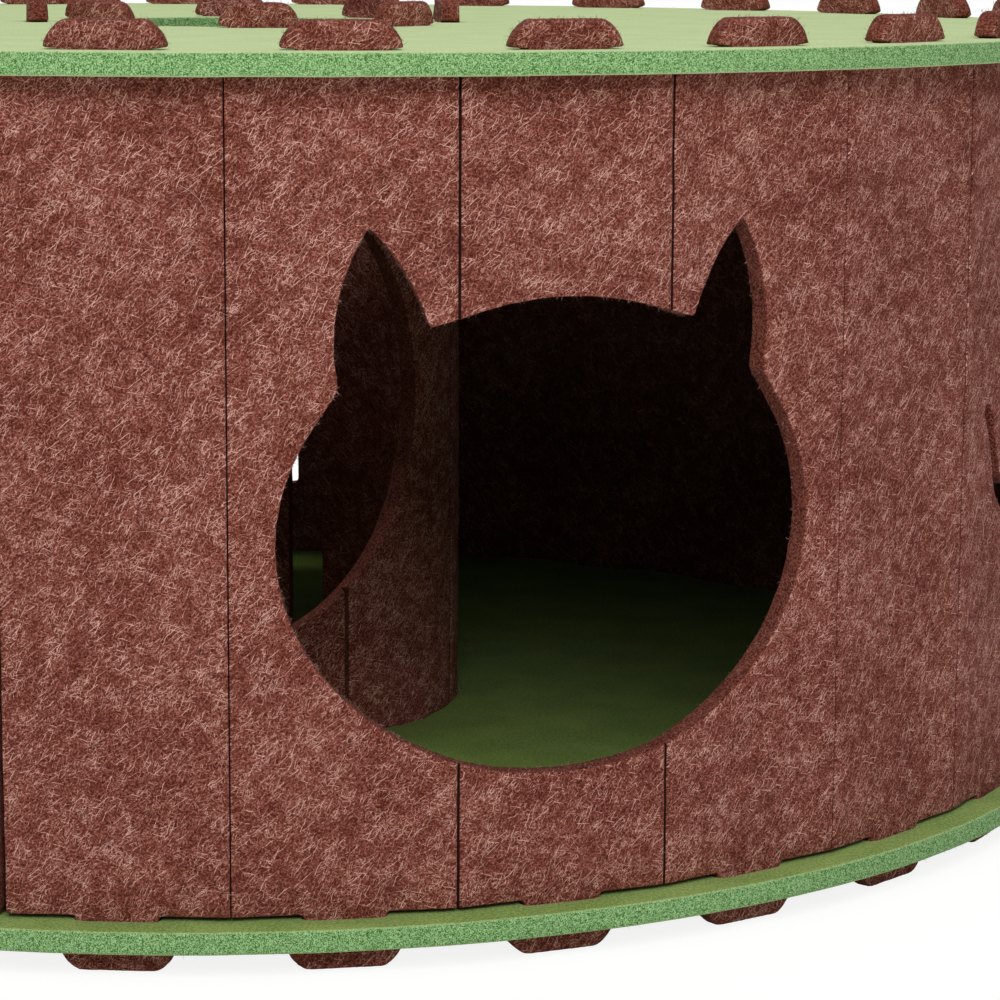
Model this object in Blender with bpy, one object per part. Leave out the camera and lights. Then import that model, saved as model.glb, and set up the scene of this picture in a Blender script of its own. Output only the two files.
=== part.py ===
"""Round cat house of needle felt: two slotted discs, a folded wall and a bent inner ring.

Every sheet is drawn flat as it is cut, with its tabs and openings in one outline. It is then
folded round its ring, and the slits that let it fold open into narrow grooves. Metres, +Z up.
The doorway faces -Y, and the origin is on the floor under the middle of the house.
"""
import math

import bpy
import bmesh
from mathutils import Matrix, Vector

# Sheet and fit
FELT = 0.008                  # thickness of every sheet
SEAT_GAP = 0.0003             # clearance between faces that touch
SLOT_GAP = 0.0003             # clearance between a tab's neck and its slot, on each side
WALL_LIFT = 0.0017            # the walls hang this far above the floor sheet

# House
WALL_HEIGHT = 0.280           # from the floor sheet to the roof sheet
RIM_WIDTH = 0.0104            # green rim outside the corners of the wall
DISC_SIDES = 112              # facets of a disc's rim

# Outer wall
FOLDS = 28                    # flat stretches round the wall
FOLD_WIDTH = 0.0755           # one flat stretch, from slit to slit
PANELS = 4                    # sheets that make up the wall
KERF_DEPTH = 0.005            # depth of a slit
KERF_CUT = 0.0004             # width of a slit at the face before folding
SEAM_GAP = 0.001              # between the inner edges of two neighbouring panels
DOOR_FOLD = 2                 # the doorway is centred on this stretch of the front panel

# Tabs of the outer wall
NECK_WIDTH = 0.0278
HEAD_WIDTH = 0.0405
HEAD_CROWN = 0.0265
HEAD_HEIGHT = 0.0095
HEAD_BULGE = 0.0016           # how far a head's side swells past a straight taper
HEAD_LIP = 0.0004             # how far the tips of a head lift off the disc
HEAD_STEPS = 4

# Inner ring
RING_RADIUS = 0.0905          # outer face
RING_TABS = 8
RING_FACETS = 6               # facets of the bent sheet for each tab
RING_TURN = math.radians(-36.9)      # the middle of the strip, from -Y towards +X
RING_SEAM = 0.0140            # opening left between the two ends of the strip
RING_KERF_CUT = 0.0018        # width of a slit at the face before bending
RING_NECK = 0.0215
RING_HEAD = 0.0320
RING_CROWN = 0.0205
RING_OPENING_RADIUS = 0.1035
RING_OPENING_HEIGHT = 0.1390  # centre, above the floor sheet
RING_OPENING_SIDES = 56

# Roof
ROOF_LEDGE = 0.0040           # roof left between the inner ring and the hole
ROOF_HOLE_SIDES = 64

OUTLINE_UNIT = 0.001          # the outline points of the cut-outs are written in this unit

# Cat-head doorway, measured on the flat sheet from its own middle and from the floor sheet
DOOR_HALF_WIDTH = 0.0982
DOOR_HALF_HEIGHT = 0.0808
DOOR_HEIGHT = 0.1262          # centre of the face
EAR_INNER = (47.0, 198.0)     # in outline units, as are the four points below
EAR_INNER_SIDE = (53.6, 213.5)
EAR_TIP = (67.1, 231.2)
EAR_OUTER_SIDE = (76.9, 208.5)
EAR_OUTER = (77.2, 178.0)
FACE_STEPS = 40
EAR_STEPS = 5

# Cat-shaped window, from the slit at its left and from the floor sheet
CAT_FOLD_FRONT = 5            # first stretch under the window, on the front panel
CAT_STEPS = 3
CAT_SHARP = ((115.5, 124.0), (129.5, 122.0), (105.3, 36.3), (95.0, 36.3))
CAT_REAR_WIDTH = 0.1601       # the rear window is turned over within this width
CAT_OUTLINE = (
    (24.5, 152.3), (28.5, 149.0), (31.8, 139.5), (35.5, 128.5), (41.0, 121.5),
    (54.0, 117.5), (74.0, 114.5), (94.0, 114.0), (108.5, 112.5), (115.5, 124.0),
    (121.0, 113.5), (129.5, 122.0), (132.0, 108.5), (137.5, 99.0), (141.0, 90.0),
    (137.0, 81.0), (127.0, 74.0), (116.0, 72.0), (108.5, 69.0), (105.3, 59.0),
    (105.3, 36.3), (95.0, 36.3), (95.0, 50.0), (93.0, 65.0), (87.0, 75.0),
    (77.0, 78.0), (68.0, 73.5), (62.0, 62.0), (60.5, 51.0), (66.0, 43.0),
    (64.5, 36.8), (52.0, 36.8), (45.7, 44.0), (51.5, 58.0), (48.5, 75.0),
    (48.0, 98.0), (43.0, 108.0), (34.3, 116.2), (30.0, 126.0), (25.5, 140.0),
    (20.8, 150.0),
)

# Mesh tolerances
WELD = 0.00001
FLAT_ANGLE = math.radians(0.05)

# Heights, from the ground up
FLOOR_BELOW = HEAD_HEIGHT + SEAT_GAP
FLOOR_ABOVE = FLOOR_BELOW + FELT
ROOF_BELOW = FLOOR_ABOVE + WALL_HEIGHT
ROOF_ABOVE = ROOF_BELOW + FELT
WALL_FOOT = FLOOR_ABOVE + WALL_LIFT
WALL_TOP = ROOF_BELOW - SEAT_GAP

# Felt
BROWN = (0.155, 0.070, 0.052)
GREEN = (0.500, 0.620, 0.300)
ROUGHNESS = 0.95


class Ring:
    """A sheet folded into a regular ring: turns places on the flat sheet into places in plan.

    A place on the sheet is its run along the sheet and its depth, which is 0 on the outer face and
    grows inwards. Stretches keep their width at the depth of the hinge. The ring begins at a fold
    on the -Y axis, and the turn is how far it is then turned in the house, from -Y towards +X.
    """

    def __init__(self, stretches, width, hinge, turn):
        self.stretches = stretches
        self.width = width
        self.step = 2 * math.pi / stretches
        self.turn = turn
        self.face = width / 2 / math.tan(self.step / 2) + hinge
        self.corner = self.face / math.cos(self.step / 2)

    def place(self, run, depth):
        """Plan position of a point of the sheet, before the ring is turned."""
        index = run / self.width
        fold = round(index)
        at_fold = abs(index - fold) < 1e-5
        stretch = fold if at_fold else math.floor(index)
        reach = self.face - depth
        along = -reach * math.tan(self.step / 2) if at_fold else run - (stretch + 0.5) * self.width
        angle = (stretch + 0.5) * self.step
        outward = Vector((math.sin(angle), -math.cos(angle)))
        sideways = Vector((math.cos(angle), math.sin(angle)))
        return outward * reach + sideways * along

    def folds(self, low, high):
        """Runs of the folds that lie between two runs."""
        first = math.floor(low / self.width) + 1
        last = math.ceil(high / self.width) - 1
        return [fold * self.width for fold in range(first, last + 1)]

    def section(self, middle, half, grow):
        """Plan outline of a neck of the turned ring, enlarged all round."""
        low = middle - half - grow
        high = middle + half + grow
        runs = [low] + self.folds(low, high) + [high]
        outer = [self.place(run, -grow) for run in runs]
        inner = [self.place(run, FELT + grow) for run in reversed(runs)]
        turn = Matrix.Rotation(self.turn, 2)
        return [turn @ point for point in outer + inner]


def arc_through(first, middle, last, steps):
    """Points of the circular arc through three points, without its last point."""
    a, b, c = Vector(first), Vector(middle), Vector(last)
    ab, ac = b - a, c - a
    cross = 2 * (ab.x * ac.y - ab.y * ac.x)
    centre = a + Vector((ac.y * ab.length_squared - ab.y * ac.length_squared,
                         ab.x * ac.length_squared - ac.x * ab.length_squared)) / cross
    start = math.atan2(a.y - centre.y, a.x - centre.x)
    end = math.atan2(c.y - centre.y, c.x - centre.x)
    sweep = end - start
    if cross > 0 and sweep < 0:
        sweep += 2 * math.pi
    if cross < 0 and sweep > 0:
        sweep -= 2 * math.pi
    radius = (a - centre).length
    angles = [start + sweep * step / steps for step in range(steps)]
    return [(centre.x + radius * math.cos(angle), centre.y + radius * math.sin(angle)) for angle in angles]


def circle(x, y, radius, sides):
    """Points of a circle."""
    angles = [2 * math.pi * (side + 0.5) / sides for side in range(sides)]
    return [(x + radius * math.cos(angle), y + radius * math.sin(angle)) for angle in angles]


def smooth_loop(points, sharp, steps):
    """A smooth closed line through the points, with corners at the sharp ones."""
    count = len(points)
    line = []
    for index in range(count):
        before, here = Vector(points[index - 1]), Vector(points[index])
        after, beyond = Vector(points[(index + 1) % count]), Vector(points[(index + 2) % count])
        if points[index] in sharp:
            before = here
        if points[(index + 1) % count] in sharp:
            beyond = after
        leave = (after - before) / 6
        arrive = (beyond - here) / 6
        for step in range(steps):
            t = step / steps
            spot = (here * (1 - t) ** 3 + (here + leave) * 3 * t * (1 - t) ** 2
                    + (after - arrive) * 3 * t * t * (1 - t) + after * t ** 3)
            line.append((spot.x, spot.y))
    return line


def in_metres(points):
    """Outline points, turned from outline units into metres."""
    return [(x * OUTLINE_UNIT, z * OUTLINE_UNIT) for x, z in points]


def door_outline(middle):
    """A cat's head seen from the front: an oval face with two pointed ears."""
    def on_face(angle):
        return (DOOR_HALF_WIDTH * math.sin(angle), DOOR_HEIGHT + DOOR_HALF_HEIGHT * math.cos(angle))

    ear = in_metres((EAR_INNER, EAR_INNER_SIDE, EAR_TIP, EAR_OUTER_SIDE, EAR_OUTER))
    inner = math.asin(ear[0][0] / DOOR_HALF_WIDTH)
    outer = math.asin(ear[4][0] / DOOR_HALF_WIDTH)
    half = arc_through(ear[0], ear[1], ear[2], EAR_STEPS)
    half += arc_through(ear[2], ear[3], ear[4], EAR_STEPS) + [ear[4]]
    cheek_steps = FACE_STEPS // 2
    sweep = math.pi - outer
    half += [on_face(outer + sweep * step / cheek_steps) for step in range(1, cheek_steps)]
    brow_steps = FACE_STEPS // 8
    brow = [on_face(inner * step / brow_steps) for step in range(1, brow_steps)]
    right = brow + half
    left = [(-x, z) for x, z in reversed(right)]
    points = [on_face(0)] + right + [on_face(math.pi)] + left
    return [(middle + x, FLOOR_ABOVE + z) for x, z in points]


def cat_outline():
    """A walking cat seen from the side, with its tail raised."""
    line = in_metres(smooth_loop(CAT_OUTLINE, CAT_SHARP, CAT_STEPS))
    return [(x, FLOOR_ABOVE + z) for x, z in line]


def tab_points(neck, head, crown):
    """Right half of a tab above its sheet's shoulder: run from the tab's middle, rise over the disc."""
    half, top = head / 2, crown / 2
    side = ((half + top) / 2 + HEAD_BULGE, (HEAD_LIP + HEAD_HEIGHT) / 2)
    slope = arc_through((half, HEAD_LIP), side, (top, HEAD_HEIGHT), HEAD_STEPS)
    return [(neck / 2, None), (neck / 2, 0)] + slope + [(top, HEAD_HEIGHT)]


def sheet_outline(low, high, middles, tab):
    """Outline of a flat wall sheet with a tab above and below each middle."""
    points = [(low, WALL_FOOT)]
    for middle in middles:
        tab_line = [(-x, rise) for x, rise in tab] + list(reversed(tab))
        for x, rise in tab_line:
            points.append((middle + x, WALL_FOOT if rise is None else FLOOR_BELOW - SEAT_GAP - rise))
    points += [(high, WALL_FOOT), (high, WALL_TOP)]
    for middle in reversed(middles):
        tab_line = list(tab) + [(-x, rise) for x, rise in reversed(tab)]
        for x, rise in tab_line:
            points.append((middle + x, WALL_TOP if rise is None else ROOF_ABOVE + SEAT_GAP + rise))
    points.append((low, WALL_TOP))
    return points


def cover_with_felt(sheet, colour):
    """Gives a sheet its own felt material."""
    material = bpy.data.materials.new(sheet.name + "_felt")
    material.use_nodes = True
    shader = material.node_tree.nodes["Principled BSDF"]
    shader.inputs["Base Color"].default_value = (*colour, 1.0)
    shader.inputs["Roughness"].default_value = ROUGHNESS
    shader.inputs["Metallic"].default_value = 0.0
    sheet.data.materials.append(material)


def edit_mesh(mesh):
    """An editable copy of a mesh."""
    edit = bmesh.new()
    edit.from_mesh(mesh)
    return edit


def finish_edit(edit, mesh):
    """Writes an edited copy back, with its faces pointing out."""
    if edit.calc_volume(signed=True) < 0:
        bmesh.ops.reverse_faces(edit, faces=edit.faces)
    edit.to_mesh(mesh)
    edit.free()


def merge_flat_faces(edit):
    """Joins neighbouring faces that lie in one plane."""
    bmesh.ops.dissolve_limit(edit, angle_limit=FLAT_ANGLE, verts=edit.verts, edges=edit.edges)


def cut_sheet(name, outlines, thickness, collection):
    """A flat sheet cut along closed outlines in its own plane; inner ones are openings."""
    curve = bpy.data.curves.new(name, "CURVE")
    curve.dimensions = "2D"
    curve.fill_mode = "BOTH"
    curve.extrude = thickness / 2
    for outline in outlines:
        spline = curve.splines.new("POLY")
        spline.points.add(len(outline) - 1)
        for point, (x, y) in zip(spline.points, outline):
            point.co = (x, y, 0, 1)
        spline.use_cyclic_u = True
    drawn = bpy.data.objects.new(name + "_outline", curve)
    bpy.context.scene.collection.objects.link(drawn)
    graph = bpy.context.evaluated_depsgraph_get()
    mesh = bpy.data.meshes.new_from_object(drawn.evaluated_get(graph))
    bpy.data.objects.remove(drawn)
    mesh.name = name
    edit = edit_mesh(mesh)
    bmesh.ops.remove_doubles(edit, verts=edit.verts, dist=WELD)
    bmesh.ops.recalc_face_normals(edit, faces=edit.faces)
    merge_flat_faces(edit)
    finish_edit(edit, mesh)
    sheet = bpy.data.objects.new(name, mesh)
    collection.objects.link(sheet)
    return sheet


def split_at(edit, run):
    """Splits the faces of a flat sheet along a line across it."""
    geometry = edit.verts[:] + edit.edges[:] + edit.faces[:]
    bmesh.ops.bisect_plane(edit, geom=geometry, dist=WELD, plane_co=(run, 0, 0), plane_no=(1, 0, 0))


def cut_slit(edit, run, half_mouth):
    """Cuts a narrow V groove across the outer face of a flat sheet."""
    for offset in (-half_mouth, 0, half_mouth):
        split_at(edit, run + offset)
    for vertex in edit.verts:
        if abs(vertex.co.x - run) < WELD and vertex.co.z > FELT / 2 - WELD:
            vertex.co.z -= KERF_DEPTH
    edit.normal_update()


def folded_sheet(name, outlines, ring, slits, half_mouth, house):
    """A brown sheet that is cut flat, slit on its outer face and folded round its ring."""
    sheet = cut_sheet(name, outlines, FELT, house)
    edit = edit_mesh(sheet.data)
    runs = [vertex.co.x for vertex in edit.verts]
    for run in slits:
        cut_slit(edit, run, half_mouth)
    for run in ring.folds(min(runs), max(runs)):
        split_at(edit, run)
    for vertex in edit.verts:
        plan = ring.place(vertex.co.x, FELT / 2 - vertex.co.z)
        vertex.co = (plan.x, plan.y, vertex.co.y)
    bmesh.ops.remove_doubles(edit, verts=edit.verts, dist=WELD)
    edit.normal_update()
    bmesh.ops.triangulate(edit, faces=edit.faces)
    finish_edit(edit, sheet.data)
    sheet.rotation_euler.z = ring.turn
    cover_with_felt(sheet, BROWN)
    return sheet


def wall_panel(name, index, ring, openings, house):
    """One sheet of the outer wall: it follows the panels before it round the house."""
    stretches = FOLDS // PANELS
    trim = SEAM_GAP / 2 + (FELT - KERF_DEPTH) * math.tan(ring.step / 2)
    low = trim
    high = stretches * ring.width - trim
    middles = [(stretch + 0.5) * ring.width for stretch in range(stretches)]
    tab = tab_points(NECK_WIDTH, HEAD_WIDTH, HEAD_CROWN)
    outlines = [sheet_outline(low, high, middles, tab)] + openings
    panel = folded_sheet(name, outlines, ring, ring.folds(low, high), KERF_CUT / 2, house)
    panel.rotation_euler.z += index * stretches * ring.step


def outer_wall(ring, house):
    """The four sheets of the outer wall."""
    door = door_outline((DOOR_FOLD + 0.5) * ring.width)
    front_cat = [(CAT_FOLD_FRONT * ring.width + run, height) for run, height in cat_outline()]
    rear_cat = [(CAT_REAR_WIDTH - run, height) for run, height in cat_outline()]
    wall_panel("wall_panel_front", 0, ring, [door, front_cat], house)
    wall_panel("wall_panel_right", 1, ring, [], house)
    wall_panel("wall_panel_rear", 2, ring, [rear_cat], house)
    wall_panel("wall_panel_left", 3, ring, [], house)


def inner_ring(ring, house):
    """The bent strip in the middle, which holds the roof up."""
    length = ring.stretches * ring.width
    tab_run = length / RING_TABS
    middles = [(tab + 0.5) * tab_run for tab in range(RING_TABS)]
    tab = tab_points(RING_NECK, RING_HEAD, RING_CROWN)
    opening = circle(length / 2, FLOOR_ABOVE + RING_OPENING_HEIGHT, RING_OPENING_RADIUS, RING_OPENING_SIDES)
    outline = sheet_outline(RING_SEAM / 2, length - RING_SEAM / 2, middles, tab)
    slits = [tab * tab_run for tab in range(1, RING_TABS)]
    folded_sheet("inner_ring", [outline, opening], ring, slits, RING_KERF_CUT / 2, house)


def disc(name, below, rings, openings, house):
    """A green disc with a slot for every neck that passes through it."""
    wall, strip = rings
    outlines = [circle(0, 0, wall.corner + RIM_WIDTH, DISC_SIDES)] + openings
    for stretch in range(FOLDS):
        outlines.append(wall.section((stretch + 0.5) * wall.width, NECK_WIDTH / 2, SLOT_GAP))
    tab_run = strip.stretches * strip.width / RING_TABS
    for tab in range(RING_TABS):
        outlines.append(strip.section((tab + 0.5) * tab_run, RING_NECK / 2, SLOT_GAP))
    sheet = cut_sheet(name, outlines, FELT, house)
    sheet.location.z = below + FELT / 2
    cover_with_felt(sheet, GREEN)


def main():
    """Builds the house in an empty scene."""
    for item in list(bpy.data.objects):
        bpy.data.objects.remove(item)
    house = bpy.data.collections.new("felt_cat_house")
    bpy.context.scene.collection.children.link(house)

    door_turn = (DOOR_FOLD + 0.5) * 2 * math.pi / FOLDS
    wall = Ring(FOLDS, FOLD_WIDTH, KERF_DEPTH, -door_turn)
    facets = RING_TABS * RING_FACETS
    facet_width = 2 * (RING_RADIUS - FELT / 2) * math.tan(math.pi / facets)
    strip = Ring(facets, facet_width, FELT / 2, RING_TURN - math.pi)

    outer_wall(wall, house)
    inner_ring(strip, house)
    disc("base_panel", FLOOR_BELOW, (wall, strip), [], house)
    roof_hole = circle(0, 0, RING_RADIUS - FELT - ROOF_LEDGE, ROOF_HOLE_SIDES)
    disc("top_panel", ROOF_BELOW, (wall, strip), [roof_hole], house)


main()
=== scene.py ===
"""A round felt cat house: four slit wall sheets and a bent inner ring between two slotted discs.

Every sheet is cut flat along its outlines with soft rims, then folded, bent or laid into its
place in the house and dressed in needle felt. Lengths are in metres.
"""
from __future__ import annotations

import logging
import math
from dataclasses import dataclass, field
from enum import Enum
from typing import Sequence

import bpy
import numpy as np
from mathutils import Matrix, Vector, geometry, kdtree


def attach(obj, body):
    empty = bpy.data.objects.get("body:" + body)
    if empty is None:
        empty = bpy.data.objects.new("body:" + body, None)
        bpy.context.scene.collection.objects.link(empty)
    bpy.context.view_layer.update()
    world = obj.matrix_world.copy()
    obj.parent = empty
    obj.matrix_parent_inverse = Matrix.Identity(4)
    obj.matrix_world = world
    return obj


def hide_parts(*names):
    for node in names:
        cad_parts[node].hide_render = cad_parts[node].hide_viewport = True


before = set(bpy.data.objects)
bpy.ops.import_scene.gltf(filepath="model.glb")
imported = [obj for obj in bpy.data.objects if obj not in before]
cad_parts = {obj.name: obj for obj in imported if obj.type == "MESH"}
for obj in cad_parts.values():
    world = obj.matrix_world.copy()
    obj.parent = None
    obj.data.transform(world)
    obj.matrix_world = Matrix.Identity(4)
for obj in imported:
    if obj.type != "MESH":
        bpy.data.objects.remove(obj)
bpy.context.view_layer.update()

LOG = logging.getLogger("felt_cat_house")
Points = np.ndarray
MM = 0.001
TINY = 1e-6


class Slot(Enum):
    """Names of the material slots that the pieces carry."""

    BROWN = "felt_brown"
    GREEN = "felt_green"


@dataclass(frozen=True)
class HouseSizes:
    """Sizes and levels that the sheets share."""

    felt: float = 0.008
    seat_gap: float = 0.0003
    slot_gap: float = 0.0003
    wall_lift: float = 0.0017
    wall_height: float = 0.280
    head_height: float = 0.0095
    stretches: int = 28
    stretch_width: float = 0.0755
    panels: int = 4
    slit_depth: float = 0.005
    door_stretch: int = 2
    rim_width: float = 0.0104
    ring_radius: float = 0.0905
    ring_turn: float = math.radians(-36.9)
    ring_tabs: int = 8
    roof_ledge: float = 0.004
    hole_sides: int = 200

    @property
    def floor_below(self) -> float:
        """Height of the floor sheet's underside."""
        return self.head_height + self.seat_gap

    @property
    def floor_above(self) -> float:
        """Height of the floor sheet's upper face."""
        return self.floor_below + self.felt

    @property
    def roof_below(self) -> float:
        """Height of the roof sheet's underside."""
        return self.floor_above + self.wall_height

    @property
    def roof_above(self) -> float:
        """Height of the roof sheet's upper face."""
        return self.roof_below + self.felt

    @property
    def lifted_foot(self) -> float:
        """Height of the lower shoulders of a sheet that shows a gap over the floor."""
        return self.floor_above + self.wall_lift

    @property
    def resting_foot(self) -> float:
        """Height of the lower shoulders of a sheet that sinks on to the floor."""
        return self.floor_above + self.seat_gap

    @property
    def wall_top(self) -> float:
        """Height of a wall sheet's upper shoulders."""
        return self.roof_below - self.seat_gap


HOUSE = HouseSizes()


def arc_through(first: Sequence[float], middle: Sequence[float], last: Sequence[float], steps: int) -> list:
    """Points of the arc through three points, without its last point.

    Args:
        first: Where the arc starts.
        middle: A point that it passes.
        last: Where it ends.
        steps: Number of points.

    Returns:
        The points as pairs.
    """
    a, b, c = (np.array(point, float) for point in (first, middle, last))
    ab, ac = b - a, c - a
    cross = 2 * (ab[0] * ac[1] - ab[1] * ac[0])
    away = np.array([ac[1] * (ab @ ab) - ab[1] * (ac @ ac), ab[0] * (ac @ ac) - ac[0] * (ab @ ab)]) / cross
    centre = a + away
    start = math.atan2(*(a - centre)[::-1])
    sweep = math.atan2(*(c - centre)[::-1]) - start
    if cross > 0 > sweep:
        sweep += 2 * math.pi
    if cross < 0 < sweep:
        sweep -= 2 * math.pi
    angles = start + sweep * np.arange(steps) / steps
    radius = np.linalg.norm(a - centre)
    return [tuple(centre + radius * np.array([math.cos(t), math.sin(t)])) for t in angles]


def circle(radius: float, sides: int, x: float = 0.0, y: float = 0.0) -> list:
    """Points of a circle of the given radius round a centre, as pairs."""
    angles = 2 * math.pi * (np.arange(sides) + 0.5) / sides
    return [(x + radius * math.cos(t), y + radius * math.sin(t)) for t in angles]


def new_object(
    name: str, points: Points, faces: list, material: bpy.types.Material, **values: Points,
) -> bpy.types.Object:
    """Makes a smooth object that carries values on its points.

    Args:
        name: Its name.
        points: Its points in the house.
        faces: Its faces.
        material: Its material.
        values: Named values, a number or a vector for each point.

    Returns:
        The object, linked to the scene.
    """
    mesh = bpy.data.meshes.new(name)
    mesh.from_pydata([tuple(point) for point in points], [], faces)
    mesh.update()
    mesh.shade_smooth()
    mesh.materials.append(material)
    for label, numbers in values.items():
        kind, key = ("FLOAT", "value") if numbers.ndim == 1 else ("FLOAT_VECTOR", "vector")
        store = mesh.attributes.new(label, kind, "POINT")
        store.data.foreach_set(key, numbers.astype(np.float32).ravel())
    made = bpy.data.objects.new(name, mesh)
    bpy.context.scene.collection.objects.link(made)
    return made


@dataclass(frozen=True)
class Tab:
    """A mushroom-shaped tab: a neck that fills its slot and a wider head beyond it."""

    neck: float
    head: float
    crown: float
    bulge: float = 0.0016
    lip: float = 0.0004
    steps: int = 4

    def half(self) -> list:
        """Draws the right half of the tab.

        Returns:
            Run from its middle and rise over the disc, with None where the shoulder starts.
        """
        half, top = self.head / 2, self.crown / 2
        side = ((half + top) / 2 + self.bulge, (self.lip + HOUSE.head_height) / 2)
        slope = arc_through((half, self.lip), side, (top, HOUSE.head_height), self.steps)
        return [(self.neck / 2, None), (self.neck / 2, 0.0)] + slope + [(top, HOUSE.head_height)]

    def sheet(self, low: float, high: float, middles: Sequence[float], foot: float) -> list:
        """Outline of a wall sheet with this tab above and below each middle.

        Args:
            low: Run of its left edge.
            high: Run of its right edge.
            middles: Runs of the tabs' middles.
            foot: Height of its lower shoulders.

        Returns:
            The outline's points, run and height.
        """
        half = self.half()
        left_first = [(-x, rise) for x, rise in half] + half[::-1]
        right_first = half + [(-x, rise) for x, rise in half[::-1]]
        below = HOUSE.floor_below - HOUSE.seat_gap
        above = HOUSE.roof_above + HOUSE.seat_gap
        points = [(low, foot)]
        for middle in middles:
            points += [(middle + x, foot if rise is None else below - rise) for x, rise in left_first]
        points += [(high, foot), (high, HOUSE.wall_top)]
        for middle in reversed(middles):
            points += [(middle + x, HOUSE.wall_top if rise is None else above + rise)
                       for x, rise in right_first]
        return points + [(low, HOUSE.wall_top)]


@dataclass(frozen=True)
class CatHeadDoor:
    """The doorway's outline: an oval face with two pointed ears."""

    half_width: float = 0.0982
    half_height: float = 0.0808
    height: float = 0.1262
    ear: tuple = (
        (0.0470, 0.1980), (0.0536, 0.2135), (0.0671, 0.2312), (0.0769, 0.2085), (0.0772, 0.1780),
    )
    face_steps: int = 40
    ear_steps: int = 5

    def on_face(self, angle: float) -> tuple:
        """A point of the oval, by its angle from the top."""
        return (self.half_width * math.sin(angle), self.height + self.half_height * math.cos(angle))

    def outline(self, middle: float) -> list:
        """Draws the doorway on the flat sheet.

        Args:
            middle: Run of its middle.

        Returns:
            The outline's points, run and height.
        """
        inner = math.asin(self.ear[0][0] / self.half_width)
        outer = math.asin(self.ear[4][0] / self.half_width)
        half = arc_through(*self.ear[:3], self.ear_steps)
        half += arc_through(*self.ear[2:], self.ear_steps) + [self.ear[4]]
        steps = self.face_steps // 2
        half += [self.on_face(outer + (math.pi - outer) * step / steps) for step in range(1, steps)]
        brow = self.face_steps // 8
        right = [self.on_face(inner * step / brow) for step in range(1, brow)] + half
        points = [self.on_face(0)] + right + [self.on_face(math.pi)] + [(-x, z) for x, z in right[::-1]]
        return [(middle + x, HOUSE.floor_above + z) for x, z in points]


@dataclass(frozen=True)
class CatWindow:
    """The window's outline: a walking cat with its tail raised, from the slit at its left."""

    steps: int = 3
    turned_width: float = 0.1601
    sharp: tuple = ((115.5, 124.0), (129.5, 122.0), (105.3, 36.3), (95.0, 36.3))
    points: tuple = (
        (24.5, 152.3), (28.5, 149.0), (31.8, 139.5), (35.5, 128.5), (41.0, 121.5),
        (54.0, 117.5), (74.0, 114.5), (94.0, 114.0), (108.5, 112.5), (115.5, 124.0),
        (121.0, 113.5), (129.5, 122.0), (132.0, 108.5), (137.5, 99.0), (141.0, 90.0),
        (137.0, 81.0), (127.0, 74.0), (116.0, 72.0), (108.5, 69.0), (105.3, 59.0),
        (105.3, 36.3), (95.0, 36.3), (95.0, 50.0), (93.0, 65.0), (87.0, 75.0),
        (77.0, 78.0), (68.0, 73.5), (62.0, 62.0), (60.5, 51.0), (66.0, 43.0),
        (64.5, 36.8), (52.0, 36.8), (45.7, 44.0), (51.5, 58.0), (48.5, 75.0),
        (48.0, 98.0), (43.0, 108.0), (34.3, 116.2), (30.0, 126.0), (25.5, 140.0),
        (20.8, 150.0),
    )

    def turned(self) -> list:
        """The outline of a cat that walks the other way, from a sheet's left edge."""
        return [(self.turned_width - x, z) for x, z in self.outline(0.0)]

    def outline(self, left: float) -> list:
        """Draws the window on the flat sheet as a smooth curve through its points.

        Args:
            left: Run that the points are measured from.

        Returns:
            The outline's points, run and height.
        """
        count = len(self.points)
        line = []
        for index in range(count):
            spots = (self.points[(index + k) % count] for k in (-1, 0, 1, 2))
            before, here, after, beyond = (np.array(spot) for spot in spots)
            if self.points[index] in self.sharp:
                before = here
            if self.points[(index + 1) % count] in self.sharp:
                beyond = after
            for step in range(self.steps):
                t = step / self.steps
                leave, arrive = here + (after - before) / 6, after - (beyond - here) / 6
                spot = here * (1 - t) ** 3 + 3 * leave * t * (1 - t) ** 2 + 3 * arrive * t * t * (1 - t)
                line.append(spot + after * t ** 3)
        return [(left + x * MM, HOUSE.floor_above + z * MM) for x, z in line]


@dataclass(frozen=True)
class FoldedRing:
    """A sheet folded at even slits: it turns places on the flat sheet into places in plan."""

    stretches: int
    width: float
    hinge: float
    turn: float
    settle: float = 0.006
    near_fold: float = 1e-5

    @property
    def step(self) -> float:
        """Angle of one stretch."""
        return 2 * math.pi / self.stretches

    @property
    def face(self) -> float:
        """Distance of a stretch's outer face from the middle of the house."""
        return self.width / 2 / math.tan(self.step / 2) + self.hinge

    @property
    def corner(self) -> float:
        """Radius of the outer corners."""
        return self.face / math.cos(self.step / 2)

    def place(self, run: Points, depth: Points, closure: Points) -> Points:
        """Folds points of the flat sheet into plan.

        Args:
            run: Place along the sheet.
            depth: Depth under the outer face.
            closure: How far the lips of the nearest slit lean together, from 0 to 1.

        Returns:
            Plan positions, one row a point.
        """
        index = run / self.width
        fold = np.round(index)
        at_fold = np.abs(index - fold) * self.width < self.near_fold
        stretch = np.where(at_fold, fold, np.floor(index))
        along = np.where(at_fold, -self.width / 2, run - (stretch + 0.5) * self.width)
        reach = self.face - depth
        mitre = reach * math.tan(self.step / 2)
        free = self.width / 2 + closure * (mitre - self.width / 2)
        limit = np.where(depth > self.hinge, mitre, free)
        flat = self.width / 2 - self.settle
        over = np.maximum(np.abs(along) - flat, 0)
        along = np.sign(along) * (np.minimum(np.abs(along), flat) + over * (limit - flat) / self.settle)
        along = np.where(at_fold, -mitre, along)
        angle = self.turn + (stretch + 0.5) * self.step
        x = np.sin(angle) * reach + np.cos(angle) * along
        y = -np.cos(angle) * reach + np.sin(angle) * along
        return np.column_stack([x, y])


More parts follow.
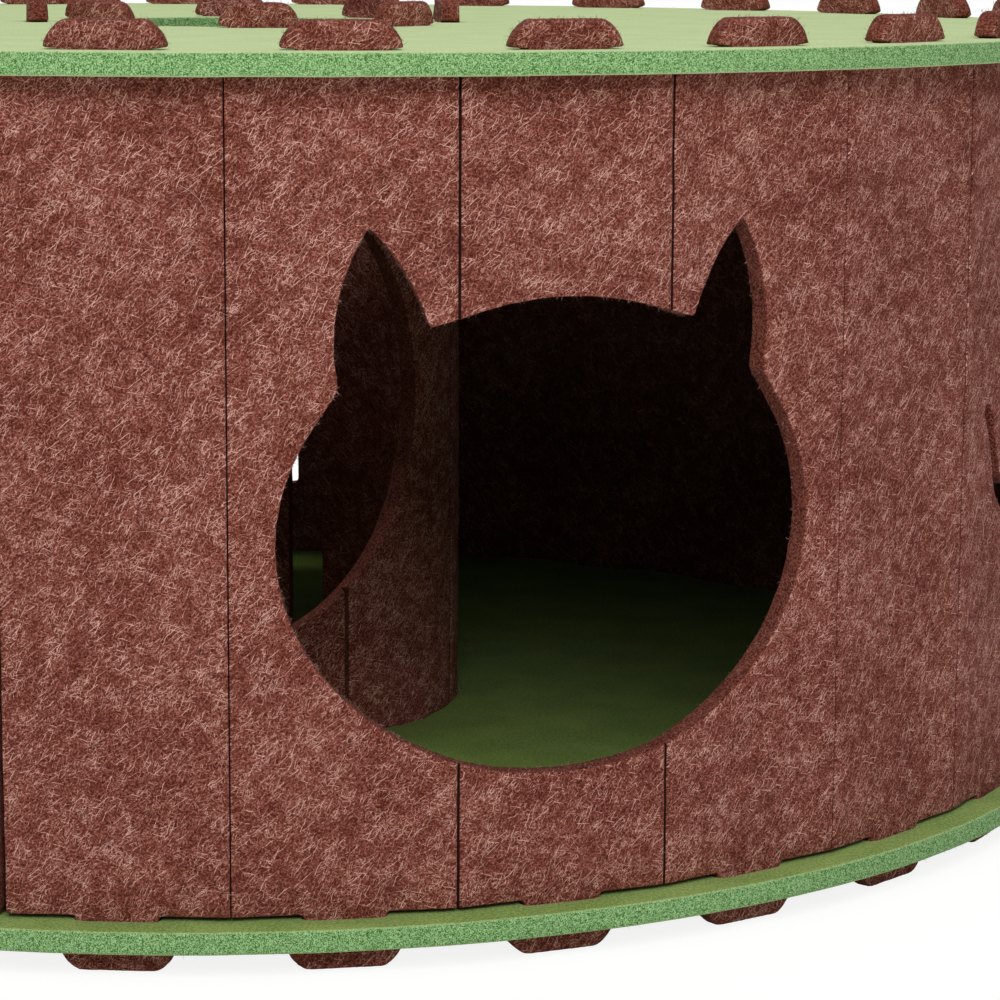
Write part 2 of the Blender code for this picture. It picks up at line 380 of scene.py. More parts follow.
@dataclass(frozen=True)
class BentRing:
    """A strip bent evenly round the middle of the house."""

    radius: float
    length: float
    turn: float

    def place(self, run: Points, depth: Points, closure: Points) -> Points:
        """Bends points of the flat strip into plan.

        Args:
            run: Place along the strip.
            depth: Depth under the outer face.
            closure: Not used, because a bend leaves no corner to close.

        Returns:
            Plan positions, one row a point.
        """
        angle = self.turn + 2 * math.pi * run / self.length
        reach = self.radius - depth
        return np.column_stack([np.sin(angle) * reach, -np.cos(angle) * reach])


@dataclass(frozen=True)
class Slit:
    """A slit in a sheet's outer face, with painted shade inside it."""

    run: float
    half_mouth: float
    depth: float
    closure: float = 0.0
    lip: float = 0.0006
    lip_shares: tuple = (0.0, 0.08, 0.35, 1.0)
    lip_dip: float = 0.7
    # Strength of the painted shade inside the slit, from 1 to 2.
    painted_shade: float = 2.0

    def columns(self) -> list[float]:
        """Runs of the mesh columns that shape the slit."""
        offsets = [self.half_mouth + share * self.lip for share in self.lip_shares]
        return [self.run] + [self.run + side * offset for side in (-1, 1) for offset in offsets]

    def mark(self, run: Points) -> Points:
        """The painted shade inside the slit, from 1 to 2, and nothing beside it."""
        return np.where(np.abs(run - self.run) < self.half_mouth + TINY, self.painted_shade, 0.0)

    def sink(self, run: Points) -> Points:
        """Works out how deep the outer face lies in and beside the slit.

        Args:
            run: Place along the sheet.

        Returns:
            The depth at each place.
        """
        away = np.abs(run - self.run)
        wall = self.depth - (self.depth - self.lip_dip * self.lip) * np.clip(away / self.half_mouth, 0, 1)
        beyond = np.clip((away - self.half_mouth) / self.lip, 0, 1)
        return np.where(away < self.half_mouth - TINY, wall, self.lip_dip * self.lip * (1 - beyond) ** 2)


@dataclass
class SheetCut:
    """Cuts a felt sheet flat and gives it a soft rim."""

    outlines: list
    slits: list[Slit] = field(default_factory=list)
    grid: float = 0.006
    rim: float = 0.0005
    head_rim: float = 0.0
    rough: float = 0.0
    pitch: float = 0.0024
    soften: int = 2
    longest_mitre: float = 1.5
    row_pitch: float = 0.87
    jitter: float = 0.12
    rim_clear: float = 0.6
    slit_clear: float = 0.35
    batch: int = 2000
    weld: float = 1e-4
    seed: int = 1

    @staticmethod
    def on_head(loop: Points, blend: float = 0.0015) -> Points:
        """How far each point of an outline belongs to a tab's head, from 0 to 1."""
        beyond = np.maximum(loop[:, 1] - HOUSE.roof_above, HOUSE.floor_below - loop[:, 1])
        return np.clip((beyond - HOUSE.seat_gap) / blend, 0, 1)

    def radius(self, loop: Points) -> Points:
        """Works out the rim's radius along an outline.

        Args:
            loop: The outline's points.

        Returns:
            The radius at each point.
        """
        if self.head_rim == 0:
            return np.full(len(loop), self.rim)
        return self.rim + (self.head_rim - self.rim) * self.on_head(loop)

    def loops(self) -> list[Points]:
        """Steps the outlines evenly and softens their corners.

        Returns:
            Closed outlines with the felt on their left.
        """
        loops = []
        for number, outline in enumerate(self.outlines):
            loop = np.array(outline, float)
            after = np.roll(loop, -1, axis=0)
            area = float(np.sum(loop[:, 0] * after[:, 1] - after[:, 0] * loop[:, 1]))
            if (area > 0) != (number == 0):
                loop = loop[::-1]
            after = np.roll(loop, -1, axis=0)
            line = []
            for start, end in zip(loop, after):
                pieces = max(1, math.ceil(np.linalg.norm(end - start) / self.pitch))
                line += [start + (end - start) * k / pieces for k in range(pieces)]
            line = np.array(line)
            for _ in range(self.soften):
                line = (np.roll(line, 1, axis=0) + 2 * line + np.roll(line, -1, axis=0)) / 4
            loops.append(line)
        return loops

    @staticmethod
    def leftward(loop: Points) -> Points:
        """Finds the mitred ways from an outline towards the felt.

        Args:
            loop: The outline's points.

        Returns:
            One vector a point, about as long as one where the outline is straight.
        """
        ahead = np.roll(loop, -1, axis=0) - loop
        ahead /= np.linalg.norm(ahead, axis=1)[:, None]
        normal = np.column_stack([-ahead[:, 1], ahead[:, 0]])
        before = np.roll(normal, 1, axis=0)
        mitre = (normal + before) / (1 + np.sum(normal * before, axis=1))[:, None]
        length = np.linalg.norm(mitre, axis=1)
        return mitre / np.maximum(length / SheetCut.longest_mitre, 1)[:, None]

    def triangulate(self) -> tuple[Points, Points, kdtree.KDTree, Points]:
        """Fills the inset outlines with triangles.

        Returns:
            The flat points, the triangles over them, the inset outlines' places, and for each
            of these the way out to the outline.
        """
        loops = self.loops()
        inward = [self.leftward(loop) * self.radius(loop)[:, None] for loop in loops]
        insets = [loop + way for loop, way in zip(loops, inward)]
        points = [tuple(point) for loop in insets for point in loop]
        edges = []
        start = 0
        for loop in insets:
            edges += [(start + k, start + (k + 1) % len(loop)) for k in range(len(loop))]
            start += len(loop)
        low, high = insets[0].min(0), insets[0].max(0)
        rim_points = np.array(points)
        for slit in self.slits:
            for column in slit.columns():
                levels = np.arange(low[1] - self.grid, high[1] + 2 * self.grid, self.grid)
                first = len(points)
                points += [(column, level) for level in levels]
                edges += [(first + k, first + k + 1) for k in range(len(levels) - 1)]
        points += [tuple(point) for point in self.filling(low, high, rim_points)]
        flat = [Vector(point) / MM for point in points]
        found, _, faces, _, _, _ = geometry.delaunay_2d_cdt(flat, edges, [], 0, self.weld, False)
        mesh_points = np.array([tuple(point) for point in found]) * MM
        triangles = np.array([face for face in faces if len(face) == 3])
        inside = self.inside(mesh_points[triangles].mean(axis=1), insets)
        triangles = triangles[inside]
        used = np.unique(triangles)
        renumber = np.full(len(mesh_points), -1)
        renumber[used] = np.arange(len(used))
        mesh_points, triangles = mesh_points[used], renumber[triangles]
        a, b, c = (mesh_points[triangles[:, k]] for k in range(3))
        area = (b[:, 0] - a[:, 0]) * (c[:, 1] - a[:, 1]) - (b[:, 1] - a[:, 1]) * (c[:, 0] - a[:, 0])
        triangles[area < 0] = triangles[area < 0][:, ::-1]
        places = kdtree.KDTree(len(rim_points))
        for number, (x, y) in enumerate(rim_points):
            places.insert((x, y, 0.0), number)
        places.balance()
        return mesh_points, triangles, places, -np.vstack(inward)

    def filling(self, low: Points, high: Points, rim_points: Points) -> Points:
        """Spreads points over the felt, clear of its rims and slits.

        Args:
            low: Least run and height of the felt.
            high: Greatest run and height of the felt.
            rim_points: Points of the inset outlines.

        Returns:
            The points, one a row.
        """
        rng = np.random.default_rng(self.seed)
        rows = []
        levels = np.arange(low[1] + self.grid / 2, high[1], self.grid * self.row_pitch)
        for number, level in enumerate(levels):
            runs = np.arange(low[0] + self.grid * (0.25 + 0.5 * (number % 2)), high[0], self.grid)
            rows.append(np.column_stack([runs, np.full(len(runs), level)]))
        inner = np.vstack(rows)
        inner += rng.uniform(-self.jitter, self.jitter, inner.shape) * self.grid
        keep = np.ones(len(inner), bool)
        for chunk in np.array_split(np.arange(len(inner)), max(1, len(inner) // self.batch)):
            gap = np.linalg.norm(inner[chunk, None] - rim_points[None], axis=2).min(1)
            keep[chunk] = gap > self.rim_clear * self.grid
        for slit in self.slits:
            clear = slit.half_mouth + slit.lip + self.slit_clear * self.grid
            keep &= np.abs(inner[:, 0] - slit.run) > clear
        return inner[keep]

    @staticmethod
    def inside(spots: Points, loops: list[Points]) -> Points:
        """Finds which spots lie on the felt, by counting crossings.

        Args:
            spots: Places on the flat sheet.
            loops: The sheet's outlines.

        Returns:
            True for each spot on the felt.
        """
        crossings = np.zeros(len(spots), int)
        for loop in loops:
            after = np.roll(loop, -1, axis=0)
            for (x1, y1), (x2, y2) in zip(loop, after):
                if y1 == y2:
                    continue
                spans = (spots[:, 1] > min(y1, y2)) & (spots[:, 1] <= max(y1, y2))
                crossing = x1 + (spots[:, 1] - y1) * (x2 - x1) / (y2 - y1)
                crossings += spans & (spots[:, 0] < crossing)
        return crossings % 2 == 1


@dataclass
class SheetMesh:
    """A soft-rimmed sheet, still flat: points as run, height and depth."""

    cut: SheetCut
    thickness: float = HOUSE.felt

    def build(self) -> tuple[Points, list, Points, Points]:
        """Makes the sheet's two faces and its rim.

        Returns:
            The points, the faces, how much each point belongs to a cut rim or, from 1 to 2, to the painted
            shade inside a slit, and the slit closure.
        """
        flat, triangles, places, ways = self.cut.triangulate()
        rng = np.random.default_rng(self.cut.seed)
        sink = np.zeros(len(flat))
        mark = np.zeros(len(flat))
        closure = np.zeros(len(flat))
        nearest = np.full(len(flat), 1.0)
        for slit in self.cut.slits:
            sink = np.maximum(sink, slit.sink(flat[:, 0]))
            mark = np.maximum(mark, slit.mark(flat[:, 0]))
            away = np.abs(flat[:, 0] - slit.run)
            closure = np.where(away < nearest, slit.closure, closure)
            nearest = np.minimum(nearest, away)
        count = len(flat)
        front = np.column_stack([flat, sink])
        back = np.column_stack([flat, np.full(count, self.thickness)])
        points, cut, close = [front, back], [mark, np.zeros(count)], [closure, closure]
        faces = [tuple(face) for face in triangles] + [tuple(face[::-1] + count) for face in triangles]
        total = 2 * count
        for loop in self.boundary(triangles):
            line = flat[loop]
            outward = ways[[places.find((x, y, 0.0))[1] for x, y in line]]
            radius = np.linalg.norm(outward, axis=1)
            depth = sink[loop]
            ripple = rng.uniform(-1, 1, len(loop))
            rows = [loop]
            for offset, dip, share, belongs in self.profile():
                rough = self.cut.rough * (0.6 * ripple + 0.4 * rng.uniform(-1, 1, len(loop)))
                spot = line + outward * (offset + belongs * rough / radius)[:, None]
                near = depth + dip * radius
                level = near + share * (self.thickness - depth - 2 * dip * radius)
                points.append(np.column_stack([spot, level]))
                # Rim rows that don't fully belong to the cut keep the painted shade of a slit.
                cut.append(np.maximum(np.full(len(loop), belongs), mark[loop] * (belongs < 1)))
                close.append(closure[loop])
                rows.append(np.arange(total, total + len(loop)))
                total += len(loop)
            rows.append(loop + count)
            for upper, lower in zip(rows, rows[1:]):
                upper_next, lower_next = np.roll(upper, -1), np.roll(lower, -1)
                corners = (upper, lower, lower_next, upper_next)
                faces += list(zip(*(corner.tolist() for corner in corners)))
        return np.vstack(points), faces, np.concatenate(cut), np.concatenate(close)

    @staticmethod
    def profile() -> list[tuple[float, float, float, float]]:
        """Rows of the rim.

        Returns:
            For each row, how far out and how deep it lies in rim radii, its share of the way to the
            back rim, and how much it belongs to the cut.
        """
        front = [(math.sin(t), 1 - math.cos(t), 0.0, share) for t, share in ((0.5, 0.35), (1.0, 0.7))]
        wall = [(1.0, 1.0, share, 1.0) for share in (0.0, 0.33, 0.67, 1.0)]
        return front + wall + [(out, dip, 1.0, belongs) for out, dip, _, belongs in front[::-1]]

    @staticmethod
    def boundary(triangles: Points) -> list[Points]:
        """Joins the edges that only one triangle uses.

        Args:
            triangles: The sheet's triangles.

        Returns:
            Closed loops of points, with the felt on their left.
        """
        halves = np.vstack([triangles[:, [0, 1]], triangles[:, [1, 2]], triangles[:, [2, 0]]])
        present = {(int(a), int(b)) for a, b in halves}
        after = {a: b for a, b in present if (b, a) not in present}
        loops = []
        while after:
            start, here = after.popitem()
            loop = [start]
            while here != start:
                loop.append(here)
                here = after.pop(here)
            loops.append(np.array(loop))
        return loops


@dataclass(frozen=True)
class Waves:
    """Gentle unevenness of pressed felt, as a sum of fixed waves."""

    height: float = 0.00018
    length: float = 0.045
    count: int = 9
    seed: int = 5

    def at(self, spots: Points) -> Points:
        """Adds the waves up.

        Args:
            spots: Places on the flat sheet.

        Returns:
            Height of the surface over each spot.
        """
        rng = np.random.default_rng(self.seed)
        total = np.zeros(len(spots))
        for _ in range(self.count):
            angle = rng.uniform(0, 2 * math.pi)
            wave = self.length * rng.uniform(0.35, 1.6)
            phase = rng.uniform(0, 2 * math.pi)
            along = spots[:, 0] * math.cos(angle) + spots[:, 1] * math.sin(angle)
            total += np.sin(along * 2 * math.pi / wave + phase)
        return self.height * total / math.sqrt(self.count)


class Value:
    """A shader socket that takes part in expressions: numbers by Math nodes, vectors by Vector Math."""

    def __init__(self, shop: FinishShop, socket: bpy.types.NodeSocket) -> None:
        """Wraps an output socket of the shop's material."""
        self.shop = shop
        self.socket = socket

    @property
    def is_wide(self) -> bool:
        """Whether the socket carries a vector or a colour."""
        return self.socket.type in ("VECTOR", "RGBA")

    def _math(self, operation: str, *inputs: object) -> Value:
        """Adds a Math node, or a Vector Math node where a vector or colour takes part.

        Args:
            operation: What it does.
            inputs: Values, numbers or tuples that it takes.

        Returns:
            Its result.
        """
        wide = any(isinstance(item, tuple) or getattr(item, "is_wide", False) for item in inputs)
        kind = "ShaderNodeVectorMath" if wide else "ShaderNodeMath"
        return self.shop.add(kind, {"operation": operation}, dict(enumerate(inputs)))

    def __add__(self, other: object) -> Value:
        """Sum."""
        return self._math("ADD", self, other)

    __radd__ = __add__

    def __sub__(self, other: object) -> Value:
        """Difference."""
        return self._math("SUBTRACT", self, other)

    def __rsub__(self, other: object) -> Value:
        """Reflected difference."""
        return self._math("SUBTRACT", other, self)

    def __mul__(self, other: object) -> Value:
        """Product."""
        return self._math("MULTIPLY", self, other)

    __rmul__ = __mul__

    def __abs__(self) -> Value:
        """Absolute value."""
        return self._math("ABSOLUTE", self)

    def largest(self, other: object) -> Value:
        """The larger of two values."""
        return self._math("MAXIMUM", self, other)

    def part(self, axis: int) -> Value:
        """One component of a vector or colour."""
        return self.shop.add("ShaderNodeSeparateXYZ", {}, {0: self}, axis)

    def sibling(self, out: str) -> Value:
        """Another output of the same node."""
        return Value(self.shop, self.socket.node.outputs[out])

    def ramp(self, low: float, high: float, start: float = 0.0, end: float = 1.0) -> Value:
        """Smooth step from start to end between two levels."""
        settings = {"interpolation_type": "SMOOTHSTEP"}
        return self.shop.add("ShaderNodeMapRange", settings, {0: self, 1: low, 2: high, 3: start, 4: end})


class FinishShop:
    """Fills the node tree of one material or world."""

    def __init__(self, owner: bpy.types.Material | bpy.types.World) -> None:
        """Starts with an empty tree.

        Args:
            owner: The material or world.
        """
        self.owner = owner
        owner.use_nodes = True
        self.tree = owner.node_tree
        self.tree.nodes.clear()

    def add(self, kind: str, settings: dict, inputs: dict, out: object = 0) -> Value | None:
        """Adds any node.

        Args:
            kind: The node's type.
            settings: Its properties and a ramp's stops, which are set first.
            inputs: Values or links of its sockets, by name or number.
            out: The output socket that is wanted.

        Returns:
            The output, ready for expressions, or None for a node that has none.
        """
        node = self.tree.nodes.new(kind)
        for name, value in settings.items():
            if name == "stops":
                self.set_stops(node.color_ramp.elements, value)
            else:
                setattr(node, name, value)
        for name, value in inputs.items():
            if isinstance(value, Value):
                self.tree.links.new(value.socket, node.inputs[name])
            else:
                node.inputs[name].default_value = value
        return Value(self, node.outputs[out]) if node.outputs else None

    @staticmethod
    def set_stops(elements: bpy.types.ColorRampElements, stops: Sequence[tuple[float, tuple]]) -> None:
        """Gives a ramp its stops.

        Args:
            elements: The ramp's stops, two at first.
            stops: Places and colours in rising order.
        """
        for number, (place, colour) in enumerate(stops):
            element = elements[number] if number < 2 else elements.new(place)
            element.position = place
            element.color = (*colour, 1.0)

    def ramp_of(self, factor: Value, *stops: tuple[float, tuple]) -> Value:
        """A colour that runs through stops as the factor grows."""
        return self.add("ShaderNodeValToRGB", {"stops": stops}, {0: factor})

    def mix(self, factor: object, first: object, second: object) -> Value:
        """Blends two colours."""
        first, second = ((*item, 1.0) if isinstance(item, tuple) else item for item in (first, second))
        return self.add("ShaderNodeMix", {"data_type": "RGBA"}, {0: factor, 6: first, 7: second}, 2)

    def noise(self, place: Value, size: float, detail: float, out: str = "Fac") -> Value:
        """Cloudy noise whose blobs are about the given size."""
        inputs = {"Vector": place, "Scale": 1 / size, "Detail": detail}
        return self.add("ShaderNodeTexNoise", {}, inputs, out)

    def attribute(self, name: str, out: str) -> Value:
        """Reads a value stored on the mesh."""
        return self.add("ShaderNodeAttribute", {"attribute_name": name}, {}, out)

    def finish(self, shader: Value, kind: str = "ShaderNodeOutputMaterial") -> bpy.types.ID:
        """Connects the surface and hands the material or world over."""
        self.add(kind, {}, {"Surface": shader})
        return self.owner


@dataclass(frozen=True)
class FibreLayer:
    """One layer of short straight fibres that lie about one way, in degrees, on a felt face."""

    angle: float
    length: float
    gap: float
    thick: float
    strength: float
    shift: float
    dimmest: float = 0.15
    edge: tuple = (0.35, 0.65)
    end: tuple = (0.28, 0.55)

    def on(self, shop: FinishShop, flat: Value) -> Value:
        """How brightly this layer's fibres show at each spot.

        Args:
            shop: The material that takes the nodes.
            flat: Place on the flat sheet.

        Returns:
            From 0 between the fibres to the layer's strength on them.
        """
        turned = shop.add("ShaderNodeMapping", {}, {
            "Vector": flat, "Rotation": (0.0, 0.0, -math.radians(self.angle)),
            "Location": (self.shift, 2 * self.shift, 0.0),
        })
        cells = turned * (1 / self.length, 1 / self.gap, 0.0)
        settings = {"voronoi_dimensions": "2D"}
        fibre = shop.add("ShaderNodeTexVoronoi", settings, {"Vector": cells, "Scale": 1.0}, "Position")
        away = cells - fibre
        along, across = away.part(0), away.part(1)
        random = fibre.sibling("Color").part(0)
        light = random * random * (1 - self.dimmest) + self.dimmest
        line = abs(across).ramp(*(share * self.thick / self.gap for share in self.edge), 1.0, 0.0)
        return line * abs(along).ramp(*self.end, 1.0, 0.0) * light * self.strength


def tangle_of(shop: FinishShop, flat: Value, layers: Sequence[FibreLayer]) -> Value:
    """Lays several layers of fibres over each other.

    Args:
        shop: The material that takes the nodes.
        flat: Place on the flat sheet.
        layers: The layers.

    Returns:
        The strength of the brightest fibre at each spot.
    """
    tangle = layers[0].on(shop, flat)
    for layer in layers[1:]:
        tangle = tangle.largest(layer.on(shop, flat))
    return tangle


@dataclass(frozen=True)
class Touch:
    """What a felt's surface has the same all over, and how strongly its fibres stand out."""

    roughness: float
    gloss: float
    sheen: float
    relief: float
    rise: float
    sheen_roughness: float = 0.6

    def finish(self, shop: FinishShop, colour: Value, height: Value) -> bpy.types.Material:
        """Ends a felt's material.

        Args:
            shop: The material that takes the nodes.
            colour: The felt's colour.
            height: How far its fibres stand out, from 0 to 1.

        Returns:
            The material.
        """
        bump = shop.add("ShaderNodeBump", {}, {
            "Strength": self.relief, "Distance": self.rise, "Height": height,
        }, "Normal")
        return shop.finish(shop.add("ShaderNodeBsdfPrincipled", {}, {
            "Base Color": colour, "Roughness": self.roughness, "Normal": bump,
            "Specular IOR Level": self.gloss, "Sheen Weight": self.sheen,
            "Sheen Roughness": self.sheen_roughness,
        }))


@dataclass(frozen=True)
class BrownFelt:
    """Reddish-brown needle felt: a dense tangle of fibres, some of them pale, redder cut rims and painted
    shade in its slits.
    """

    name: str = "brown_needle_felt"
    pit: tuple = (0.062, 0.013, 0.008)
    deep: tuple = (0.155, 0.038, 0.025)
    body: tuple = (0.272, 0.076, 0.053)
    light: tuple = (0.470, 0.178, 0.136)
    pale: tuple = (0.860, 0.540, 0.460)
    # Colour of the painted shade inside the slits.
    slit: tuple = (0.034, 0.010, 0.007)
    rim_dark: tuple = (0.055, 0.011, 0.007)
    rim_light: tuple = (0.300, 0.084, 0.054)
    stops: tuple = (0.16, 0.34, 0.49, 0.66, 0.90)
    drift_size: float = 0.045
    patch_size: float = 0.0075
    grain_size: float = 0.00080
    bend_size: float = 0.0028
    bend_reach: float = 0.0010
    lean: tuple = (1.1, 0.7)
    touch: Touch = Touch(0.92, 0.06, 0.02, 0.7, 0.0005)
    fibres: tuple = (
        FibreLayer(50, 0.0034, 0.00050, 0.00015, 1.00, 0.0),
        FibreLayer(24, 0.0030, 0.00049, 0.00015, 0.96, 0.11),
        FibreLayer(77, 0.0030, 0.00049, 0.00015, 0.96, 0.23),
        FibreLayer(-3, 0.0027, 0.00050, 0.00014, 0.86, 0.37),
        FibreLayer(106, 0.0027, 0.00050, 0.00014, 0.86, 0.51),
        FibreLayer(-36, 0.0025, 0.00052, 0.00014, 0.80, 0.67),
        FibreLayer(133, 0.0025, 0.00052, 0.00014, 0.80, 0.83),
        FibreLayer(38, 0.0068, 0.00240, 0.00017, 1.30, 0.29),
        FibreLayer(66, 0.0058, 0.00260, 0.00017, 1.25, 0.43),
        FibreLayer(-14, 0.0052, 0.00320, 0.00017, 1.15, 0.59),
    )

    def material(self) -> bpy.types.Material:
        """Builds the material.

        Returns:
            The material.
        """
        shop = FinishShop(bpy.data.materials.new(self.name))
        flat = shop.attribute("flat", "Vector")
        cut = shop.attribute("cut", "Fac")
        drift = shop.noise(flat, self.drift_size, 2.0)
        patch = shop.noise(flat, self.patch_size, 3.0)
        grain = shop.noise(flat, self.grain_size, 2.0)
        bend = shop.noise(flat, self.bend_size, 1.0, "Color") - (0.5, 0.5, 0.5)
        depth = flat.part(2)
        slant = shop.add("ShaderNodeCombineXYZ", {}, {0: depth * self.lean[0], 1: depth * self.lean[1]})
        sheared = flat + slant + bend * (self.bend_reach, self.bend_reach, 0.0)
        tangle = tangle_of(shop, sheared, self.fibres)
        level = tangle * patch.ramp(0.30, 0.70, 0.52, 0.84) + grain.ramp(0.32, 0.68) * 0.24
        level = level + drift.ramp(0.30, 0.70) * 0.08
        colours = (self.pit, self.deep, self.body, self.light, self.pale)
        face = shop.ramp_of(level, *zip(self.stops, colours))
        speck = grain.ramp(0.38, 0.62) * 0.8 + patch.ramp(0.30, 0.70) * 0.2
        raw = shop.mix(speck, self.rim_dark, self.rim_light)
        colour = shop.mix(cut.ramp(0.30, 0.85) * 0.9, face, raw)
        # Painted shade: the inside of each slit is darkened towards the slit colour.
        colour = shop.mix(cut.ramp(1.10, 1.70), colour, self.slit)
        height = tangle_of(shop, sheared, self.fibres[:3]) * 0.5 + grain * 0.5
        return self.touch.finish(shop, colour, height)


@dataclass(frozen=True)
class GreenFelt:
    """Yellow-green pressed felt: smooth faces, darker, granular cut rims with pale lips, and on the floor
    painted shade inside the walls.
    """

    name: str = "green_roof_felt"
    face: tuple = (0.650, 0.750, 0.420)
    shade: tuple = (0.470, 0.600, 0.265)
    rim_dark: tuple = (0.040, 0.140, 0.028)
    rim_mid: tuple = (0.190, 0.385, 0.120)
    rim_light: tuple = (0.440, 0.680, 0.340)
    lip: tuple = (0.520, 0.690, 0.360)
    # Painted shade: the faces are multiplied by this colour inside the walls, where the house shades the
    # floor; white leaves them unshaded.
    indoor_shade: tuple = (1.0, 1.0, 1.0)
    shade_radius: float = 0.330
    shade_blend: float = 0.008
    rim_stops: tuple = (0.40, 0.49, 0.60)
    drift_size: float = 0.028
    fine_size: float = 0.0011
    grain_size: float = 0.00040
    touch: Touch = Touch(0.9, 0.12, 0.05, 0.5, 0.0006)
    fibres: tuple = (
        FibreLayer(8, 0.0060, 0.00080, 0.00026, 0.8, 0.0),
        FibreLayer(64, 0.0055, 0.00080, 0.00026, 0.7, 0.19),
        FibreLayer(-47, 0.0055, 0.00080, 0.00026, 0.7, 0.41),
    )

    def material(self) -> bpy.types.Material:
        """Builds the material.

        Returns:
            The material.
        """
        shop = FinishShop(bpy.data.materials.new(self.name))
        flat = shop.attribute("flat", "Vector")
        cut = shop.attribute("cut", "Fac")
        drift = shop.noise(flat, self.drift_size, 3.0)
        fine = shop.noise(flat, self.fine_size, 3.0)
        grain = shop.noise(flat, self.grain_size, 2.0)
        tangle = tangle_of(shop, flat, self.fibres)
        tone = drift.ramp(0.30, 0.70) * 0.24 + fine.ramp(0.35, 0.65) * 0.48 + tangle * 0.42
        # Painted shade inside the walls' radius, blended out just beyond it.
        squares = flat.part(0) * flat.part(0) + flat.part(1) * flat.part(1)
        unshaded = squares.ramp(self.shade_radius ** 2, (self.shade_radius + self.shade_blend) ** 2)
        face = shop.mix(tone, self.shade, self.face) * shop.mix(unshaded, self.indoor_shade, (1.0, 1.0, 1.0))
        clump = grain * 0.75 + fine * 0.25
        raw = shop.ramp_of(clump, *zip(self.rim_stops, (self.rim_dark, self.rim_mid, self.rim_light)))
        border = cut.ramp(0.10, 0.45) * (1 - cut.ramp(0.60, 0.95)) * grain.ramp(0.35, 0.60)
        colour = shop.mix(border * 0.7, shop.mix(cut.ramp(0.30, 0.95), face, raw), self.lip)
        return self.touch.finish(shop, colour, fine * 0.4 + grain * 0.6)


@dataclass(frozen=True)
class LooseFibreFinish:
    """Finish of the fibres that stand off the felt, each with its own tint."""

    name: str
    dark: tuple
    light: tuple
    roughness: float = 0.85
    gloss: float = 0.15

    def material(self) -> bpy.types.Material:
        """Builds the material.

        Returns:
            The material.
        """
        shop = FinishShop(bpy.data.materials.new(self.name))
        colour = shop.mix(shop.attribute("tint", "Fac"), self.dark, self.light)
        return shop.finish(shop.add("ShaderNodeBsdfPrincipled", {}, {
            "Base Color": colour, "Roughness": self.roughness, "Specular IOR Level": self.gloss,
        }))


@dataclass(frozen=True)
class RimFuzz:
    """Short fibres that stand off a cut rim."""

    spacing: float
    length: tuple = (0.0007, 0.0022)
    depths: tuple = (0.0003, 0.0077)
    root: float = 0.0003
    thick: float = 0.00008
    lean: float = 0.8
    bow: float = 0.22
    plunge: float = 0.35
    steps: tuple = (0.0, 0.15, 0.6, 1.0)

    def axes(self, loop: Points, chosen: Points, rng: np.random.Generator) -> Points:
        """Lays fibres out along an outline.

        Args:
            loop: The outline on the flat sheet, with the felt on its left.
            chosen: Which of its points take fibres.
            rng: Where the random numbers come from.

        Returns:
            Points along each fibre as run, height and depth, one row a fibre.
        """
        ahead = np.roll(loop, -1, axis=0) - loop
        pace = np.linalg.norm(ahead, axis=1)
        weight = np.where(chosen, pace, 0.0)
        count = int(weight.sum() / self.spacing)
        pick = rng.choice(len(loop), count, p=weight / weight.sum())
        outward = -SheetCut.leftward(loop)[pick]
        tangent = ahead[pick] / pace[pick, None]
        length = rng.uniform(*self.length, (count, 1))
        near, far = self.depths
        depth = near + (far - near) * (0.5 - 0.5 * np.cos(math.pi * rng.random((count, 1))))
        start = loop[pick] + ahead[pick] * rng.random((count, 1)) - outward * self.root
        way = outward + tangent * rng.normal(0, self.lean, (count, 1))
        way *= (length + self.root) / np.linalg.norm(way, axis=1)[:, None]
        sway = rng.normal(0, self.bow, (count, 1)) * length
        sink = rng.normal(0, self.plunge, (count, 1)) * length
        rows = []
        for step in self.steps:
            spot = start + way * step + tangent * sway * math.sin(math.pi * step)
            rows.append(np.column_stack([spot, depth + sink * step]))
        return np.stack(rows, axis=1)


@dataclass(frozen=True)
class Strays:
    """Long fibres that lie loose on a face."""

    count: int
    length: tuple = (0.0035, 0.0150)
    long_ones: float = 2.5
    lift: float = 0.0005
    root: float = 0.0001
    slant: float = math.radians(50)
    spread: float = math.radians(38)
    bow: float = 0.16
    curl: float = 0.07
    thick: float = 0.00009
    steps: tuple = (0.0, 0.1, 0.35, 0.65, 0.9, 1.0)

    def axes(self, cut: SheetCut, rng: np.random.Generator) -> Points:
        """Scatters fibres over a sheet's outer face.

        Args:
            cut: The sheet.
            rng: Where the random numbers come from.

        Returns:
            Points along each fibre as run, height and depth, one row a fibre.
        """
        loops = cut.loops()
        low, high = loops[0].min(axis=0), loops[0].max(axis=0)
        start = low + rng.random((self.count, 2)) * (high - low)
        angle = rng.normal(self.slant, self.spread, self.count)
        shortest, longest = self.length
        length = shortest + (longest - shortest) * rng.random(self.count) ** self.long_ones
        way = np.column_stack([np.cos(angle), np.sin(angle)]) * length[:, None]
        side = np.column_stack([-way[:, 1], way[:, 0]])
        across = side * rng.normal(0, self.bow, (self.count, 1))
        wave = side * rng.normal(0, self.curl, (self.count, 1))
        lift = self.lift * rng.uniform(0.3, 1.0, self.count)
        rows = []
        for step in self.steps:
            bow, curl = math.sin(math.pi * step), math.sin(2 * math.pi * step)
            spot = start + way * step + across * bow + wave * curl
            rows.append(np.column_stack([spot, self.root - lift * bow ** 0.5]))
        axes = np.stack(rows, axis=1)
        inside = cut.inside(axes[:, :, :2].reshape(-1, 2), loops).reshape(self.count, -1).all(axis=1)
        return axes[inside]


